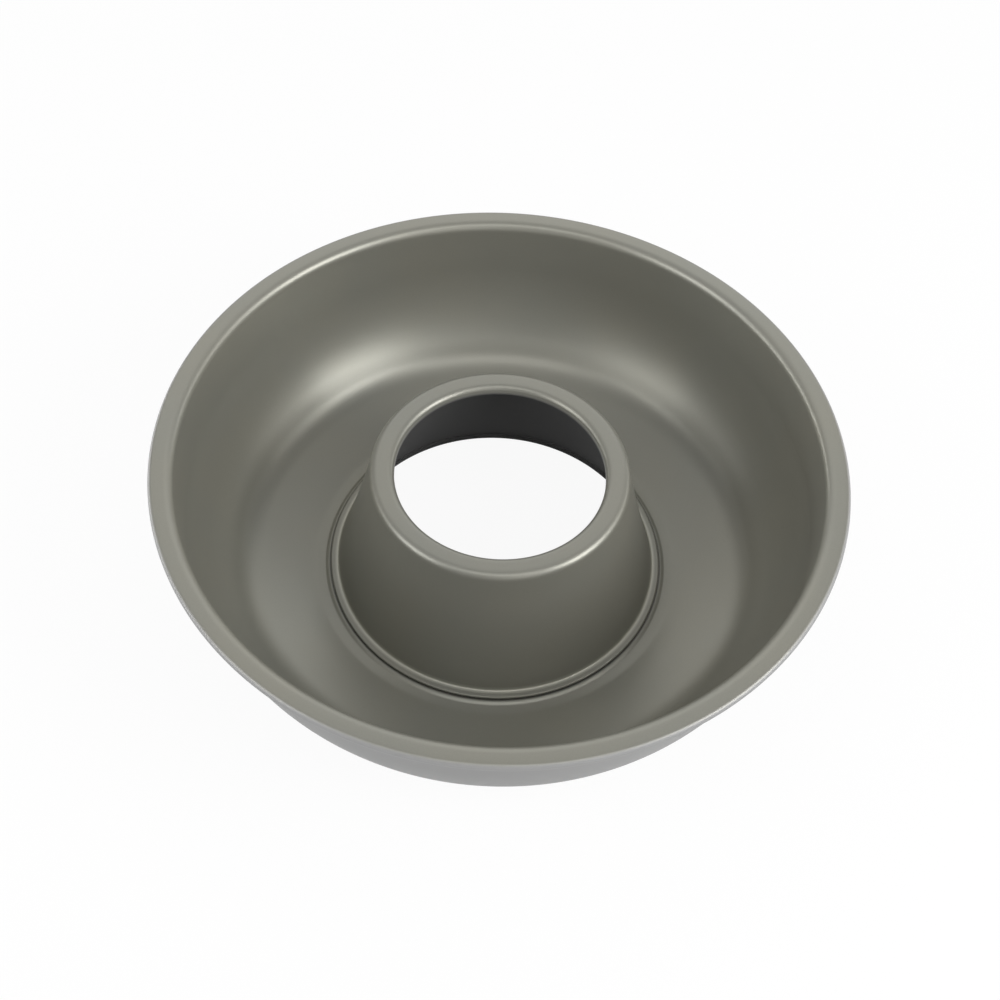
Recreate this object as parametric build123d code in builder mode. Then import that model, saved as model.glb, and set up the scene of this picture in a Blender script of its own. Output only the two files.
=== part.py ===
from build123d import *
import os
from math import atan2, cos, hypot, radians, tan

# Ring cake pan of coated sheet steel, in millimetres.
# The origin is on the pan's axis, on the surface that the pan stands on.
# Both pieces are bent from thin sheet, so each one is drawn as the line in the
# middle of its sheet, from the hole outwards, and turned about the axis.
# Radii, widths and heights are of the surfaces that show from above.

# Sheets and the folded seam that joins them
body_sheet = 0.6
tube_sheet = 0.6
seam_gap = 0.05
fold_gap = 0.1

# Centre tube: an open cone with a flat ring on top and a folded foot
tube_height = 63.5
mouth_radius = 43.3
mouth_round = 2.9
lip_edge = 1.1
ring_width = 9.7
shoulder_round = 3.5
waist_depth = 1.4
waist_share = 0.8
foot_radius = 68.7
foot_round = 0.8
bead_width = 3.3
neck_step = 0.95
neck_bend = 0.25
flare_width = 2.75

# Pan body, from the raised seat under the tube's bead out to the rolled rim
seat_margin = 1.0
step_width = 1.2
step_round = 0.8
base_width = 4.2
floor_share = 0.58
floor_rise = 7.2
floor_round = 8.0
side_height = 23.4
bend_share = 0.2
wall_share = 0.6
rim_radius = 140.0
pan_height = 75.2
rim_width = 9.5
rim_round = 4.0
curl_radius = 2.5
wall_draft = 2.5
curl_turn = 270

half_body = body_sheet / 2
half_tube = tube_sheet / 2

# Radii of the tube and of its seam, outwards from the mouth
shoulder_radius = mouth_radius + ring_width
neck_radius = foot_radius - neck_step
flare_radius = neck_radius + flare_width
bead_radius = foot_radius + bead_width

# Heights of the seam's layers, from the standing surface up: the tube's flare,
# the pan's seat, and the two leaves of the tube's folded bead
flare_line = seam_gap + half_tube
seat_line = seam_gap + tube_sheet + seam_gap + half_body
lower_leaf = seat_line + half_body + seam_gap + half_tube
upper_leaf = lower_leaf + tube_sheet + fold_gap
fold_line = (tube_sheet + fold_gap) / 2

# The tube's neck passes down through the hole in the pan's seat, and the seat
# reaches out past the bead that lies on it
hole_radius = neck_radius + seam_gap
seat_radius = bead_radius + seat_margin
step_radius = seat_radius + step_width
rim_line = pan_height - half_body
slope = radians(wall_draft)


def wall_line(height):
    # Radius of the middle of the wall's sheet at a height
    inside = rim_radius - rim_width - (pan_height - height) * tan(slope)
    return inside + half_body / cos(slope)


# From the narrow flat base the floor climbs gently to a bend. A steeper side goes on
# from the bend, and a long curve turns it up into the wall. Each of these two curves
# takes a share of the side's length
floor_start = step_radius + base_width
floor_width = floor_share * (wall_line(half_body) - floor_start)
bend_radius = floor_start + floor_width
bend_height = half_body + floor_rise
corner_height = bend_height + side_height
side_width = wall_line(corner_height) - bend_radius
side_length = hypot(side_width, side_height)
floor_slope = atan2(floor_rise, floor_width)
side_slope = atan2(side_height, side_width)
bend_curve = bend_share * side_length / tan((side_slope - floor_slope) / 2)
wall_curve = wall_share * side_length / tan((radians(90) - slope - side_slope) / 2)

with BuildPart() as pan_body:
    with BuildSketch(Plane.XZ) as body_section:
        with BuildLine() as body_middle:
            bowl = FilletPolyline(
                (hole_radius + half_body, seat_line),
                (seat_radius, seat_line),
                (step_radius, half_body),
                (floor_start, half_body),
                (bend_radius, bend_height),
                (wall_line(corner_height), corner_height),
                (wall_line(rim_line), rim_line),
                (rim_radius - curl_radius, rim_line),
                radius=(
                    step_round,
                    step_round,
                    floor_round,
                    bend_curve,
                    wall_curve,
                    rim_round - half_body,
                ),
            )
            JernArc(bowl @ 1, bowl % 1, curl_radius - half_body, -curl_turn)
            offset(amount=half_body)
        make_face()
    revolve(axis=Axis.Z)

# The tube's wall is drawn in at a shallow waist half way down, and a long curve
# round the waist leaves it nearly straight
wall_width = foot_radius - shoulder_radius
wall_height = tube_height - upper_leaf
wall_length = hypot(wall_width, wall_height)
waist_radius = shoulder_radius + wall_width / 2 - waist_depth
waist_curve = waist_share * wall_length**2 / (4 * waist_depth)

with BuildPart() as centre_tube:
    with BuildSketch(Plane.XZ) as tube_section:
        with BuildLine() as tube_middle:
            cone = FilletPolyline(
                (mouth_radius + half_tube, tube_height - mouth_round - lip_edge),
                (mouth_radius + half_tube, tube_height - half_tube),
                (shoulder_radius - half_tube, tube_height - half_tube),
                (waist_radius - half_tube, upper_leaf + wall_height / 2),
                (foot_radius - half_tube, upper_leaf),
                (bead_radius - half_tube - fold_line, upper_leaf),
                radius=(
                    mouth_round - half_tube,
                    shoulder_round - half_tube,
                    waist_curve,
                    foot_round + half_tube,
                ),
            )
            fold = JernArc(cone @ 1, cone % 1, fold_line, -180)
            FilletPolyline(
                fold @ 1,
                (neck_radius - half_tube, lower_leaf),
                (neck_radius - half_tube, flare_line),
                (flare_radius - half_tube, flare_line),
                radius=neck_bend + half_tube,
            )
            offset(amount=half_tube)
        make_face()
    revolve(axis=Axis.Z)

pan_body.part.label = "pan_body"
centre_tube.part.label = "centre_tube"

os.makedirs("parts", exist_ok=True)
export_step(pan_body.part, "parts/pan_body.step")
export_step(centre_tube.part, "parts/centre_tube.step")
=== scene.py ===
import math

import bpy
import numpy as np
from mathutils import Matrix, Vector


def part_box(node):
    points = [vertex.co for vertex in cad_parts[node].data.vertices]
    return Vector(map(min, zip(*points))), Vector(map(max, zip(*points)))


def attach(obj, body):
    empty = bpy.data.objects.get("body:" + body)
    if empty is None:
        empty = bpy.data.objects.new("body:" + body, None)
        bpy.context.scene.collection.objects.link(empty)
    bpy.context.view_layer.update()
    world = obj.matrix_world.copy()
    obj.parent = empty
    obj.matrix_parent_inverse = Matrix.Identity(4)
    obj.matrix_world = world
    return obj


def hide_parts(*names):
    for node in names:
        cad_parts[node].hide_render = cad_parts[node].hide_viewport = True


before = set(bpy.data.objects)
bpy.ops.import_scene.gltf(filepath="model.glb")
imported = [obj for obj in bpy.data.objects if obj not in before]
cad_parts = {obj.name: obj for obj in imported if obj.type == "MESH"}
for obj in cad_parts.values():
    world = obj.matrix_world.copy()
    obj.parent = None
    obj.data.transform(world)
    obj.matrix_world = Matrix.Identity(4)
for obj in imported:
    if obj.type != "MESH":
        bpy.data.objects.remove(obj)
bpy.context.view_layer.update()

mm = 0.001
panLow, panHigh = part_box("pan_body")
tubeLow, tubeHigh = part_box("centre_tube")


# Sheet metal turned about the pan's axis

def addRun(places, headings, start, end, spacing):
    # Even steps along a straight run, without its first point where it goes on from another
    length = np.linalg.norm(end - start)
    count = max(1, math.ceil(length / spacing))
    share = np.linspace(0, 1, count + 1)[1 if places else 0:, None]
    places.append(start + (end - start) * share)
    headings.append(np.repeat(((end - start) / length)[None], len(share), axis=0))


def addArc(places, headings, start, way, radius, turn, turnStep, spacing):
    # Steps round an arc: its centre lies one radius to the side that the line turns to,
    # and the spoke from the centre to the start is turned a little at a time
    count = max(2, math.ceil(abs(turn) / turnStep), math.ceil(abs(turn) * radius / spacing))
    angles = np.linspace(0, turn, count + 1)[1:]
    cos, sin = np.cos(angles)[:, None], np.sin(angles)[:, None]
    across = np.array([-way[1], way[0]])
    centre = start + across * math.copysign(radius, turn)
    spoke = start - centre
    places.append(centre + spoke * cos + np.array([-spoke[1], spoke[0]]) * sin)
    headings.append(way * cos + across * sin)


def bentLine(points, radii, spacing, turnStep):
    # Straight runs joined by arcs: a corner is cut back by its radius times the tangent
    # of half its turn. Gives the places along the line and its heading at each of them
    points = np.array(points, float)
    runs = np.diff(points, axis=0)
    ways = runs / np.linalg.norm(runs, axis=1)[:, None]
    places, headings = [], []
    start = points[0]
    for corner, radius, before, after in zip(points[1:-1], radii, ways[:-1], ways[1:]):
        turn = math.atan2(before[0] * after[1] - before[1] * after[0], before @ after)
        cut = radius * math.tan(abs(turn) / 2)
        addRun(places, headings, start, corner - before * cut, spacing)
        addArc(places, headings, corner - before * cut, before, radius, turn, turnStep, spacing)
        start = corner + after * cut
    addRun(places, headings, start, points[-1], spacing)
    return places, headings


def sheetOutline(places, headings, thickness, capSteps):
    # Both faces of a sheet, half its thickness to each side of its middle line along the
    # line's normal, closed by a half circle at each end. Side is 0 on the face to the
    # left of the line and 1 on the face to its right
    places, headings = np.concatenate(places), np.concatenate(headings)
    normals = np.column_stack([-headings[:, 1], headings[:, 0]]) * thickness / 2
    ahead = headings * thickness / 2
    angles = np.linspace(0, math.pi, capSteps + 1)[1:-1, None]
    endCap = places[-1] + normals[-1] * np.cos(angles) + ahead[-1] * np.sin(angles)
    startCap = places[0] - normals[0] * np.cos(angles) - ahead[0] * np.sin(angles)
    outline = np.concatenate([places + normals, endCap, (places - normals)[::-1], startCap])
    capSide = np.linspace(0, 1, capSteps + 1)[1:-1]
    side = np.concatenate([np.zeros(len(places)), capSide, np.ones(len(places)), 1 - capSide])
    return outline, side


def smoothStep(low, high, value):
    # 0 below low, 1 above high, and an even S between them
    share = np.clip((value - low) / (high - low), 0, 1)
    return share * share * (3 - 2 * share)


def turnedMesh(name, outline, steps, unevenness, attributes):
    # A closed outline carried round the axis: x and y are the outline's radius times the
    # cosine and sine of the angle. Long low waves move the sheet in and down a little
    angles = np.arange(steps) * 2 * math.pi / steps
    radius, height = outline[:, :1], outline[:, 1:]
    wave = np.zeros((len(outline), steps))
    for order, alongTurns, phase in unevenness["waves"]:
        along = alongTurns * (radius + height) / (100 * mm)
        wave = wave + (1 + np.sin(order * angles[None] + along * 2 * math.pi + phase)) / 2
    wave = wave * unevenness["depth"] * mm / len(unevenness["waves"])
    radii = radius - wave * unevenness["inwardShare"]
    heights = np.where(height > unevenness["stillHeight"] * mm, height - wave, height)
    points = np.stack([radii * np.cos(angles), radii * np.sin(angles), heights], axis=-1)
    row = np.arange(len(outline))[:, None] * steps
    nextRow = np.roll(row, -1, axis=0)
    column = np.arange(steps)[None]
    nextColumn = np.roll(column, -1, axis=1)
    quads = np.stack([row + column, row + nextColumn, nextRow + nextColumn, nextRow + column], axis=-1)
    mesh = bpy.data.meshes.new(name)
    mesh.from_pydata(points.reshape(-1, 3), [], quads.reshape(-1, 4).tolist())
    mesh.polygons.foreach_set("use_smooth", np.ones(len(mesh.polygons), bool))
    for attribute, values in attributes.items():
        data = mesh.attributes.new(attribute, "FLOAT", "POINT").data
        data.foreach_set("value", np.repeat(values, steps).astype(np.float32))
    mesh.update()
    piece = bpy.data.objects.new(name, mesh)
    bpy.context.collection.objects.link(piece)
    return piece


# Materials: a socket that can be used in sums

class Flow:
    # Wraps a socket, so that an expression on flows adds its Math nodes
    def __init__(self, tree, socket=None):
        self.tree, self.socket = tree, socket

    def node(self, kind, settings=None, inputs=None, output=0):
        # Adds any node: its settings first, then a value or a flow for each named socket
        node = self.tree.nodes.new(kind)
        for setting, value in (settings or {}).items():
            setattr(node, setting, value)
        for key, value in (inputs or {}).items():
            if isinstance(value, Flow):
                self.tree.links.new(value.socket, node.inputs[key])
            else:
                node.inputs[key].default_value = value
        return Flow(self.tree, node.outputs[output] if node.outputs else None)

    def maths(self, operation, first, second=0.0):
        return self.node("ShaderNodeMath", {"operation": operation}, {0: first, 1: second})

    def __add__(self, other):
        return self.maths("ADD", self, other)

    def __radd__(self, other):
        return self.maths("ADD", other, self)

    def __sub__(self, other):
        return self.maths("SUBTRACT", self, other)

    def __rsub__(self, other):
        return self.maths("SUBTRACT", other, self)

    def __mul__(self, other):
        return self.maths("MULTIPLY", self, other)

    def __rmul__(self, other):
        return self.maths("MULTIPLY", other, self)

    def larger(self, other):
        return self.maths("MAXIMUM", self, other)

    def climb(self, low, high):
        # 0 below low, 1 above high and an even slope between them
        return self.node("ShaderNodeMapRange", None, {"Value": self, "From Min": low, "From Max": high})

    def mix(self, low, high):
        # The colour low where this is 0 and high where it is 1
        colours = {"Factor": self, 6: low, 7: high}
        return self.node("ShaderNodeMix", {"data_type": "RGBA"}, colours, output=2)

    def attribute(self, name):
        # A value that the mesh holds at each of its points
        return self.node("ShaderNodeAttribute", {"attribute_name": name}, output="Fac")

    def noise(self, place, size, detail):
        # Soft noise from 0 to 1, at so many waves to the metre
        inputs = {"Vector": place, "Scale": size, "Detail": detail}
        return self.node("ShaderNodeTexNoise", None, inputs)

    def painted(self, colour):
        # A fixed colour made lighter or darker by this
        return self.node("ShaderNodeVectorMath", {"operation": "SCALE"}, {0: colour[:3], "Scale": self})

    def tinted(self, amount):
        # Multiplies a colour by an amount
        return self.node("ShaderNodeVectorMath", {"operation": "SCALE"}, {0: self, "Scale": amount})


def newMaterial(name):
    material = bpy.data.materials.new(name)
    material.use_nodes = True
    material.node_tree.nodes.clear()
    return material, Flow(material.node_tree)


coating = {
    "insideColour": (0.274, 0.273, 0.239, 1), "insideWarm": (0.281, 0.275, 0.235, 1),
    "insideMetal": 0.5, "insideRoughness": 0.36, "insideGloss": 0.5,
    "fleckSize": 2400.0, "fleckDetail": 1.0, "fleckTone": 0.10, "fleckRoughness": 0.05,
    "cloudSize": 16.0, "cloudDetail": 4.0, "cloudTone": 0.05, "cloudRoughness": 0.05,
    "peelSize": 700.0, "peelDetail": 2.0, "peelDepth": 0.00001, "peelStrength": 0.35,
    "warmthStart": 0.35, "warmthFull": 0.65, "paintedLightDepth": 0.8,
}
bodyOutside = {
    "insideShadeTone": 1.0, "colour": (0.30, 0.30, 0.298, 1), "metal": 0.35, "roughness": 0.5,
    "gloss": 0.4,
}
# The tube's coats are the pan's coats painted darker: the warm coat's 0.93 tone is painted shade, and
# the dark neutral colour is painted shade inside the bore
tubeOutsideShaded = {
    "insideShadeTone": 0.93, "colour": (0.076, 0.076, 0.0752, 1), "metal": 0.0, "roughness": 0.6,
    "gloss": 0.08,
}


def coatingMaterial(name, settings, own):
    # The warm coat of the cake's side and the neutral coat of the other side, mixed by the
    # outside attribute: flecks and soft clouds vary both, and orange peel roughens them.
    # Where the painted light attribute is above 0 it darkens them as painted shade, and where it is
    # below 0 it lightens them as a painted highlight
    material, flow = newMaterial(name)
    place = flow.node("ShaderNodeTexCoord", output="Object")
    outside = flow.attribute("outside")
    fleck = flow.noise(place, settings["fleckSize"], settings["fleckDetail"]) - 0.5
    cloud = flow.noise(place, settings["cloudSize"], settings["cloudDetail"])
    peel = flow.noise(place, settings["peelSize"], settings["peelDetail"])
    paintedShadeAndHighlight = flow.attribute("paintedShadeAndHighlight")
    tone = 1.0 + fleck * settings["fleckTone"] + (cloud - 0.5) * settings["cloudTone"]
    tone = tone * (1.0 - paintedShadeAndHighlight * settings["paintedLightDepth"])
    unevenGloss = fleck * settings["fleckRoughness"] + (cloud - 0.5) * settings["cloudRoughness"]
    bump = flow.node("ShaderNodeBump", None, {
        "Strength": settings["peelStrength"], "Distance": settings["peelDepth"], "Height": peel})
    warmth = cloud.climb(settings["warmthStart"], settings["warmthFull"])
    insideCoat = flow.node("ShaderNodeBsdfPrincipled", None, {
        "Base Color": warmth.mix(settings["insideColour"], settings["insideWarm"]).tinted(
            tone * own["insideShadeTone"]),
        "Metallic": settings["insideMetal"], "Specular IOR Level": settings["insideGloss"],
        "Roughness": settings["insideRoughness"] + unevenGloss, "Normal": bump})
    outsideCoat = flow.node("ShaderNodeBsdfPrincipled", None, {
        "Base Color": tone.painted(own["colour"]),
        "Metallic": own["metal"], "Specular IOR Level": own["gloss"],
        "Roughness": own["roughness"] + unevenGloss, "Normal": bump})
    shader = flow.node("ShaderNodeMixShader", None, {0: outside, 1: insideCoat, 2: outsideCoat})
    flow.node("ShaderNodeOutputMaterial", None, {"Surface": shader})
    return material


# Pan body: sizes in millimetres, as the sheet was bent

panSizes = {
    "sheet": 0.6, "seamGap": 0.05, "holeRadius": 67.8, "seatMargin": 1.0, "stepWidth": 1.2,
    "stepRound": 2.0, "baseWidth": 4.2, "floorShare": 0.58, "floorRise": 7.2, "floorRound": 8.0,
    "sideHeight": 23.4, "bendShare": 0.2, "wallShare": 0.6, "rimWidth": 9.5, "rimRound": 4.0,
    "curlRadius": 1.8, "curlTurn": 270, "wallDraft": 2.5, "coatEdge": (1.7, 0.3), "coatDepth": 1.5,
    "paintedShadeFull": 0.3, "paintedShadeEnd": 0.9,
    "spacing": 1.7, "turnStep": 10, "capSteps": 6, "steps": 400,
}
panUnevenness = {
    "depth": 0.05, "inwardShare": 1.0, "stillHeight": 3.0,
    "waves": ((2, 1.3, 0.4), (3, -0.9, 2.0), (5, 2.1, 4.0)),
}


def panBody(sizes):
    # The bent line of the sheet: raised seat, flat base, climbing floor, bend, side, wall,
    # flange and rolled edge. A curve's radius is its share of the side's length over the
    # tangent of half the turn
    half = sizes["sheet"] * mm / 2
    rimRadius, panHeight = panHigh[0], panHigh[2]
    seatLine = tubeLow[2] + (sizes["sheet"] + sizes["seamGap"]) * mm + half
    seatRadius = tubeHigh[0] + sizes["seatMargin"] * mm
    stepRadius = seatRadius + sizes["stepWidth"] * mm
    rimLine = panHeight - half
    slope = math.radians(sizes["wallDraft"])

    def wallLine(height):
        inside = rimRadius - sizes["rimWidth"] * mm - (panHeight - height) * math.tan(slope)
        return inside + half / math.cos(slope)

    floorStart = stepRadius + sizes["baseWidth"] * mm
    floorWidth = sizes["floorShare"] * (wallLine(half) - floorStart)
    bend = np.array([floorStart + floorWidth, half + sizes["floorRise"] * mm])
    cornerHeight = bend[1] + sizes["sideHeight"] * mm
    corner = np.array([wallLine(cornerHeight), cornerHeight])
    sideLength = np.linalg.norm(corner - bend)
    floorSlope = math.atan2(sizes["floorRise"] * mm, floorWidth)
    sideSlope = math.atan2(corner[1] - bend[1], corner[0] - bend[0])
    bendCurve = sizes["bendShare"] * sideLength / math.tan((sideSlope - floorSlope) / 2)
    wallCurve = sizes["wallShare"] * sideLength / math.tan((math.pi / 2 - slope - sideSlope) / 2)
    curlLine = sizes["curlRadius"] * mm - half
    turnStep, spacing = math.radians(sizes["turnStep"]), sizes["spacing"] * mm
    places, headings = bentLine([
        (sizes["holeRadius"] * mm + half, seatLine), (seatRadius, seatLine), (stepRadius, half),
        (floorStart, half), bend, corner, (wallLine(rimLine), rimLine),
        (rimRadius - curlLine - half, rimLine),
    ], [
        sizes["stepRound"] * mm, sizes["stepRound"] * mm, sizes["floorRound"] * mm, bendCurve,
        wallCurve, sizes["rimRound"] * mm - half,
    ], spacing, turnStep)
    addArc(places, headings, places[-1][-1], headings[-1][-1], curlLine,
           -math.radians(sizes["curlTurn"]), turnStep, spacing)
    outline, side = sheetOutline(places, headings, sizes["sheet"] * mm, sizes["capSteps"])

    # The neutral coat starts on the outer rounding of the rim and goes on under the curl
    edgeStart, edgeEnd = (rimRadius - edge * mm for edge in sizes["coatEdge"])
    pastEdge = smoothStep(edgeStart, edgeEnd, outline[:, 0])
    underCurl = (outline[:, 1] < panHeight - sizes["coatDepth"] * mm)
    underCurl = underCurl * (outline[:, 0] > rimRadius - 2 * sizes["curlRadius"] * mm)
    outside = np.maximum.reduce([side, pastEdge, underCurl * 1.0])

    # Painted shade darkens the seat close beside the tube's bead, where the bead's shadow falls in the
    # crevice
    fromBead = (outline[:, 0] - tubeHigh[0]) / mm
    paintedShadeAndHighlight = 1 - smoothStep(sizes["paintedShadeFull"], sizes["paintedShadeEnd"], fromBead)
    return turnedMesh("panBodySheet", outline, sizes["steps"], panUnevenness,
                      {"outside": outside, "paintedShadeAndHighlight": paintedShadeAndHighlight})


# Centre tube: sizes in millimetres, as the sheet was bent

tubeSizes = {
    "sheet": 0.6, "foldGap": 0.1, "seamGap": 0.05, "mouthRadius": 43.3, "mouthRound": 2.9,
    "lipEdge": 1.1, "ringWidth": 9.7, "shoulderRound": 3.5, "waistDepth": 1.4, "waistShare": 0.8,
    "footRound": 0.8, "beadWidth": 3.3, "neckStep": 0.95, "neckBend": 0.25, "flareWidth": 2.75,
    "coatEdge": (2.4, 3.6), "mouthBand": 1.4, "paintedHighlightFull": 0.6, "paintedHighlightEnd": 1.3,
    "spacing": 1.5, "turnStep": 10, "capSteps": 6, "steps": 320,
}
tubeUnevenness = {
    "depth": 0.05, "inwardShare": 1.0, "stillHeight": 5.0,
    "waves": ((2, 1.1, 1.0), (3, -0.7, 3.0), (4, 1.9, 5.0)),
}


def centreTube(sizes):
    # The bent line of the sheet: lip, top ring, waisted cone, folded bead, neck and flare.
    # The waist's radius is a share of the wall's length squared over four waist depths
    half = sizes["sheet"] * mm / 2
    tubeHeight, beadRadius = tubeHigh[2], tubeHigh[0]
    foldLine = (sizes["sheet"] + sizes["foldGap"]) * mm / 2
    mouthRadius = sizes["mouthRadius"] * mm
    shoulderRadius = mouthRadius + sizes["ringWidth"] * mm
    footRadius = beadRadius - sizes["beadWidth"] * mm
    neckRadius = footRadius - sizes["neckStep"] * mm
    flareRadius = neckRadius + sizes["flareWidth"] * mm
    flareLine = tubeLow[2] + half
    lowerLeaf = flareLine + 2 * (sizes["sheet"] + sizes["seamGap"]) * mm
    upperLeaf = lowerLeaf + 2 * foldLine
    wallWidth, wallHeight = footRadius - shoulderRadius, tubeHeight - upperLeaf
    waistDepth = sizes["waistDepth"] * mm
    waistCurve = sizes["waistShare"] * (wallWidth ** 2 + wallHeight ** 2) / (4 * waistDepth)
    turnStep, spacing = math.radians(sizes["turnStep"]), sizes["spacing"] * mm
    places, headings = bentLine([
        (mouthRadius + half, tubeHeight - (sizes["mouthRound"] + sizes["lipEdge"]) * mm),
        (mouthRadius + half, tubeHeight - half), (shoulderRadius - half, tubeHeight - half),
        (shoulderRadius + wallWidth / 2 - waistDepth - half, upperLeaf + wallHeight / 2),
        (footRadius - half, upperLeaf), (beadRadius - half - foldLine, upperLeaf),
    ], [
        sizes["mouthRound"] * mm - half, sizes["shoulderRound"] * mm - half, waistCurve,
        sizes["footRound"] * mm + half,
    ], spacing, turnStep)
    addArc(places, headings, places[-1][-1], headings[-1][-1], foldLine, -math.pi, turnStep, spacing)
    neckBend = sizes["neckBend"] * mm + half
    neckPlaces, neckHeadings = bentLine([
        (beadRadius - half - foldLine, lowerLeaf), (neckRadius - half, lowerLeaf),
        (neckRadius - half, flareLine), (flareRadius - half, flareLine),
    ], [neckBend, neckBend], spacing, turnStep)
    places += [neckPlaces[0][1:]] + neckPlaces[1:]
    headings += [neckHeadings[0][1:]] + neckHeadings[1:]
    outline, side = sheetOutline(places, headings, sizes["sheet"] * mm, sizes["capSteps"])

    # The warm coat turns in over the mouth and ends a little way down the lip
    edgeStart, edgeEnd = sizes["coatEdge"]
    pastEdge = smoothStep(edgeStart, edgeEnd, (tubeHeight - outline[:, 1]) / mm)
    pastEdge = pastEdge * (outline[:, 0] < mouthRadius + sizes["mouthBand"] * mm)
    outside = np.maximum(side, pastEdge)

    # A painted highlight lightens the coat on the bend at the foot of the wall
    fromFoot = np.hypot(outline[:, 0] - footRadius, outline[:, 1] - upperLeaf) / mm
    paintedShadeAndHighlight = smoothStep(sizes["paintedHighlightFull"], sizes["paintedHighlightEnd"], fromFoot) - 1
    return turnedMesh("centreTubeSheet", outline, sizes["steps"], tubeUnevenness,
                      {"outside": outside, "paintedShadeAndHighlight": paintedShadeAndHighlight})


pan = panBody(panSizes)
tube = centreTube(tubeSizes)
pan.data.materials.append(coatingMaterial("panCoating", coating, bodyOutside))
tube.data.materials.append(coatingMaterial("tubeCoating", coating, tubeOutsideShaded))
for piece, node, slot in ((pan, "pan_body", "body_coating"), (tube, "centre_tube", "tube_coating")):
    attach(piece, "root")
    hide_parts(node)
    print(piece.name, "faces:", len(piece.data.polygons))


# Floor, light and camera

studio = {
    "floorSize": 6.0, "floorGap": 0.0003, "floorColour": (0.8, 0.8, 0.8, 1),
    "floorWhite": 0.93, "floorMirrored": 0.5,
    "litWorld": 0.38, "ceiling": 0.35, "ceilingStart": 0.04, "ceilingFull": 0.24,
    "lampHeight": 0.04, "lampDistance": 1.2,
    "lamps": (
        {"name": "rightFrontBox", "azimuth": 337, "elevation": 33, "width": 0.55,
         "height": 0.7, "watts": 8.6},
        {"name": "rightBox", "azimuth": 0, "elevation": 27, "width": 0.62,
         "height": 0.78, "watts": 2},
        {"name": "frontBox", "azimuth": 292, "elevation": 30, "width": 0.62,
         "height": 0.5, "watts": 0.8},
        {"name": "leftFrontBox", "azimuth": 208, "elevation": 31, "width": 0.6,
         "height": 0.7, "watts": 4.5},
        {"name": "backBox", "azimuth": 90, "elevation": 32, "width": 1.5,
         "height": 0.6, "watts": 2.2},
        {"name": "rightStrip", "azimuth": 30, "elevation": 10, "width": 0.62,
         "height": 0.45, "watts": 1},
        {"name": "leftStrip", "azimuth": 165, "elevation": 4, "width": 1.2,
         "height": 0.26, "watts": 4.2},
        {"name": "leftBox", "azimuth": 180, "elevation": 24, "width": 0.62,
         "height": 0.4, "watts": 0.7},
        {"name": "topFrontBox", "azimuth": 275, "elevation": 62, "width": 1,
         "height": 0.42, "watts": 2.2},
        {"name": "topBackBox", "azimuth": 100, "elevation": 56, "width": 1.1,
         "height": 0.5, "watts": 0.8},
    ),
}


def whiteSeen(flow, direct, mirrored):
    # A share for the camera's rays and a share for rays that come by way of metal or glass
    camera = flow.node("ShaderNodeLightPath", output="Is Camera Ray")
    throughMetal = flow.node("ShaderNodeLightPath", output="Is Glossy Ray")
    throughGlass = flow.node("ShaderNodeLightPath", output="Is Transmission Ray")
    return camera * direct + throughMetal.larger(throughGlass) * mirrored


def makeFloor(settings):
    half, low = settings["floorSize"] / 2, -settings["floorGap"]
    mesh = bpy.data.meshes.new("floor")
    corners = [(-half, -half, low), (half, -half, low), (half, half, low), (-half, half, low)]
    mesh.from_pydata(corners, [], [(0, 1, 2, 3)])
    floor = bpy.data.objects.new("floor", mesh)
    bpy.context.collection.objects.link(floor)
    material, flow = newMaterial("floorWhite")
    lit = flow.node("ShaderNodeBsdfDiffuse", None, {"Color": settings["floorColour"]})
    white = flow.node("ShaderNodeEmission", None, {"Strength": 1.0})
    seen = whiteSeen(flow, settings["floorWhite"], settings["floorMirrored"])
    shader = flow.node("ShaderNodeMixShader", None, {0: seen, 1: lit, 2: white})
    flow.node("ShaderNodeOutputMaterial", None, {"Surface": shader})
    mesh.materials.append(material)


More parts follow.
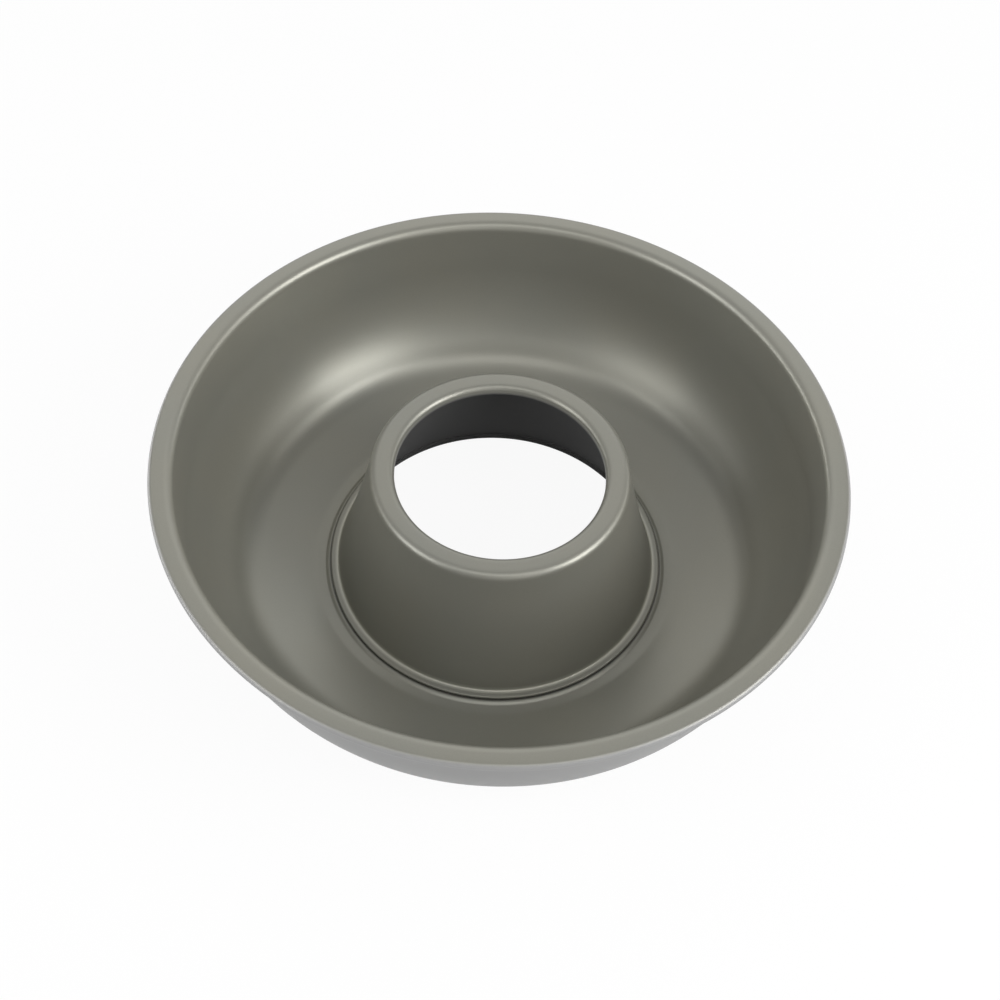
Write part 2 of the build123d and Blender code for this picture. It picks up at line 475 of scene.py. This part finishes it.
def makeWorld(settings):
    # White to the camera. In metal it is white near the horizon and dimmer overhead, and
    # for soft light it has one low level
    world = bpy.data.worlds.new("studioWorld")
    world.use_nodes = True
    bpy.context.scene.world = world
    world.node_tree.nodes.clear()
    flow = Flow(world.node_tree)
    way = flow.node("ShaderNodeTexCoord", output="Generated")
    upwards = flow.node("ShaderNodeSeparateXYZ", None, {0: way}, output="Z")
    overhead = upwards.climb(settings["ceilingStart"], settings["ceilingFull"])
    backdrop = 1.0 - overhead * (1 - settings["ceiling"])
    camera = flow.node("ShaderNodeLightPath", output="Is Camera Ray")
    mirrored = whiteSeen(flow, 0.0, 1.0)
    strength = camera + mirrored * backdrop + (1.0 - camera.larger(mirrored)) * settings["litWorld"]
    background = flow.node("ShaderNodeBackground", None, {"Color": (1, 1, 1, 1), "Strength": strength})
    flow.node("ShaderNodeOutputWorld", None, {"Surface": background})


def makeLamp(settings, aimHeight, distance):
    # A soft box on a sphere round the pan, turned to face its middle
    azimuth, elevation = math.radians(settings["azimuth"]), math.radians(settings["elevation"])
    way = Vector((math.cos(azimuth) * math.cos(elevation), math.sin(azimuth) * math.cos(elevation),
                  math.sin(elevation)))
    data = bpy.data.lights.new(settings["name"], "AREA")
    data.shape, data.size, data.size_y = "RECTANGLE", settings["width"], settings["height"]
    data.energy = settings["watts"]
    lamp = bpy.data.objects.new(settings["name"], data)
    place = Vector((0, 0, aimHeight)) + way * distance
    lamp.matrix_world = Matrix.Translation(place) @ way.to_track_quat("Z", "Y").to_matrix().to_4x4()
    bpy.context.collection.objects.link(lamp)


viewPoint = {
    "lens": 53.93, "sensor": 36.0, "elevation": 53.24, "roll": 3.49, "distance": 0.62838,
    "aimHeight": 0.040, "aside": 0.00064, "above": 0.00129,
}


def makeCamera(settings):
    # Looks along +Y and down by the elevation, turned about its own axis by the roll
    elevation, roll = math.radians(settings["elevation"]), math.radians(settings["roll"])
    ahead = Vector((0, math.cos(elevation), -math.sin(elevation)))
    level = Vector((1, 0, 0))
    raised = level.cross(ahead)
    right = level * math.cos(roll) + raised * math.sin(roll)
    up = raised * math.cos(roll) - level * math.sin(roll)
    place = Vector((0, 0, settings["aimHeight"])) - ahead * settings["distance"]
    place += right * settings["aside"] + up * settings["above"]
    data = bpy.data.cameras.new("camera")
    data.sensor_width, data.lens = settings["sensor"], settings["lens"]
    camera = bpy.data.objects.new("camera", data)
    turn = Matrix((right, up, -ahead)).transposed().to_4x4()
    camera.matrix_world = Matrix.Translation(place) @ turn
    bpy.context.collection.objects.link(camera)
    bpy.context.scene.camera = camera


makeFloor(studio)
makeWorld(studio)
for lampSettings in studio["lamps"]:
    makeLamp(lampSettings, studio["lampHeight"], studio["lampDistance"])
makeCamera(viewPoint)
bpy.context.scene.view_settings.view_transform = "Standard"
print("studio set up")

bpy.context.view_layer.update()
